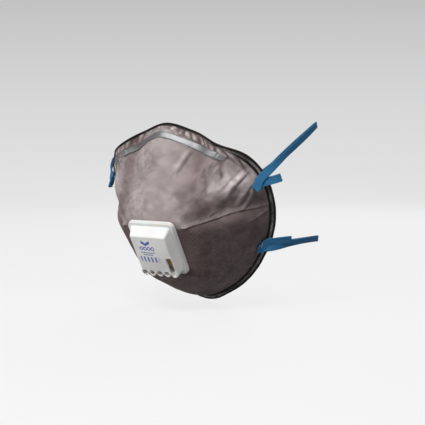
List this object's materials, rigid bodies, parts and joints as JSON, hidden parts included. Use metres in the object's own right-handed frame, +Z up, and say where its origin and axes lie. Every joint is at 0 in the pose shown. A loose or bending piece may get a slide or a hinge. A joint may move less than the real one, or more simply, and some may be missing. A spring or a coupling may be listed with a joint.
{
  "type": "respirator mask",
  "caption": "Cup-shaped disposable respirator with a moulded non-woven shell, nose clip, louvred exhalation valve and elastic headbands.",
  "frame": {"origin": "centre of the face opening, in the plane where the mask seals on the face", "axes": "+Z up as worn, -Y out of the mask's front, +X to the mask's side on the viewer's right when it is seen from the front"},
  "size_m": [0.1732, 0.1444, 0.1417],
  "materials": {
    "cover_web": "fine point-bonded non-woven",
    "carbon_web": "carbon-loaded web",
    "filter_web": "soft melt-blown web",
    "shell_web": "stiff moulded web",
    "flange_web": "pressed and welded edge",
    "clip_metal": "satin strip",
    "foam": "open-cell foam",
    "valve_plastic": "satin moulding",
    "flap_rubber": "smooth sheet",
    "band_elastic": "ribbed elastic",
    "staple_wire": "bright wire"
  },
  "bodies": {
    "mask": {"outer_cover": "cover_web", "carbon_layer": "carbon_web", "filter_layer": "filter_web", "support_shell": "shell_web", "rim_flange": "flange_web", "nose_clip": "clip_metal", "nose_foam": "foam", "valve_seat": "valve_plastic", "valve_cover": "valve_plastic", "staple_upper_right": "staple_wire", "staple_upper_left": "staple_wire", "staple_lower_right": "staple_wire", "staple_lower_left": "staple_wire", "tail_upper_right": "band_elastic", "tail_upper_left": "band_elastic", "tail_lower_right": "band_elastic", "tail_lower_left": "band_elastic"},
    "flap": {"valve_flap": "flap_rubber"},
    "upper_band": {"headband_upper": "band_elastic"},
    "lower_band": {"headband_lower": "band_elastic"}
  },
  "joints": [
    {"name": "flap_open", "type": "hinge", "parent": "mask", "child": "flap", "pos_m": [0, -0.04789, -0.00861], "axis": [-1, 0, 0], "range_deg": [0, 8], "stiffness_Nm_per_rad": 0.004, "springref_deg": -2.86},
    {"name": "upper_headband_swing", "type": "hinge", "parent": "mask", "child": "upper_band", "pos_m": [0, -0.003, 0.0392], "axis": [1, 0, 0], "range_deg": [-8, 45]},
    {"name": "lower_headband_swing", "type": "hinge", "parent": "mask", "child": "lower_band", "pos_m": [0, 0.0186, -0.0208], "axis": [1, 0, 0], "range_deg": [-45, 8]}
  ]
}
